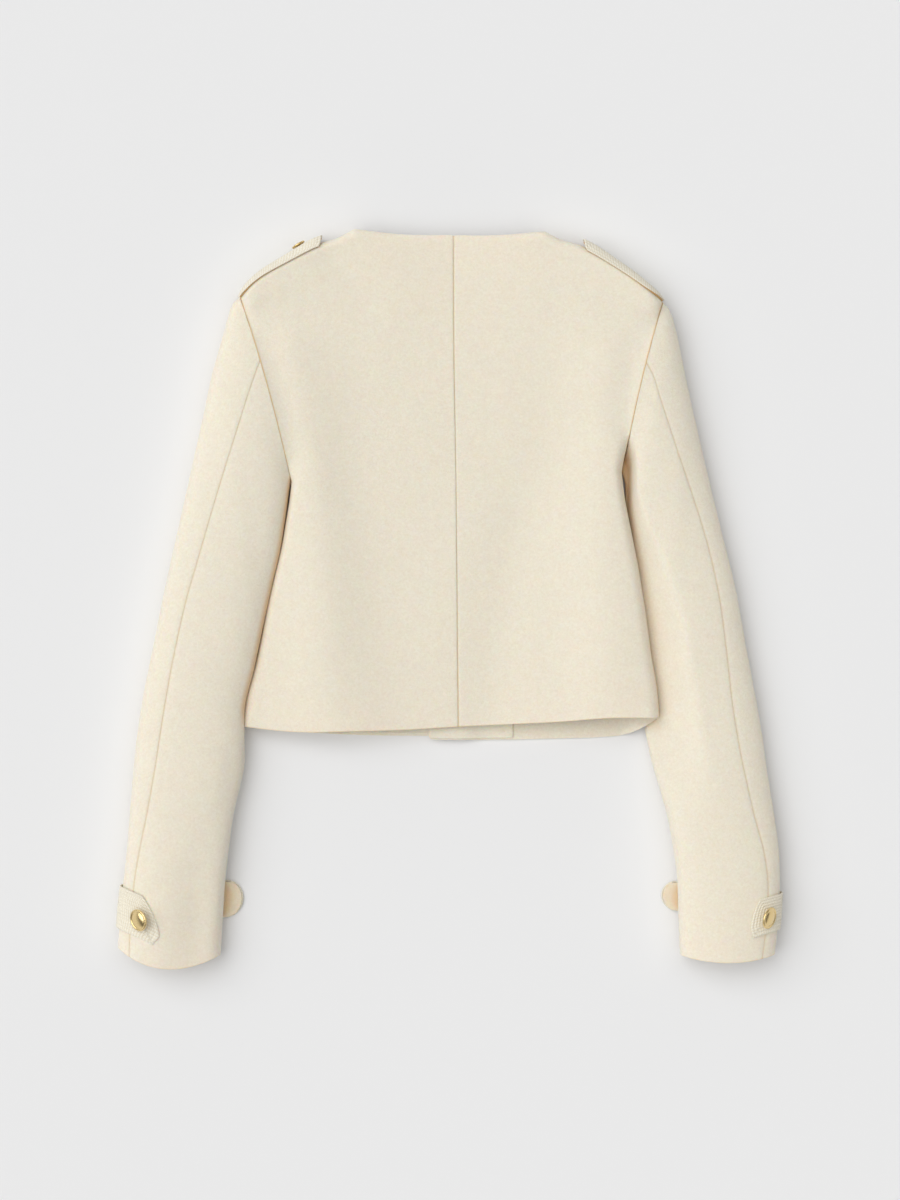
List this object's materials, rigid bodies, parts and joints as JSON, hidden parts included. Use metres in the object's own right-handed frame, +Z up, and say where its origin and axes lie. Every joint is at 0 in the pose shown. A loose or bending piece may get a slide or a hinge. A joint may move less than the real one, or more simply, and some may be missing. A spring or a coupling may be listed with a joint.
{
  "type": "braided jacket",
  "caption": "cropped collarless jacket of felted wool with braided epaulettes and cuff straps and metal shank buttons, laid flat face down",
  "frame": {"origin": "the middle of the jacket's outline, on the surface that it lies on", "axes": "+X to the wearer's right, as seen from above; +Y from hem to neck; +Z up, from the front, which lies below, to the back"},
  "size_m": [0.6027, 0.6642, 0.0531],
  "materials": {
    "wool": "felted, matt",
    "braid": "corded braid, matt",
    "gilt": "polished"
  },
  "bodies": {
    "root": {"back_left": "wool", "back_right": "wool", "front_left": "wool", "front_right": "wool", "facing_left": "wool", "facing_right": "wool", "sleeve_upper_left": "wool", "sleeve_under_left": "wool", "sleeve_upper_right": "wool", "sleeve_under_right": "wool", "epaulette_left": "wool", "epaulette_right": "wool", "cuff_strap_left": "wool", "cuff_strap_right": "wool", "epaulette_braid_left": "braid", "epaulette_braid_right": "braid", "cuff_braid_left": "braid", "cuff_braid_right": "braid", "epaulette_button_left": "gilt", "cuff_button_left": "gilt", "cuff_button_right": "gilt"}
  },
  "joints": []
}
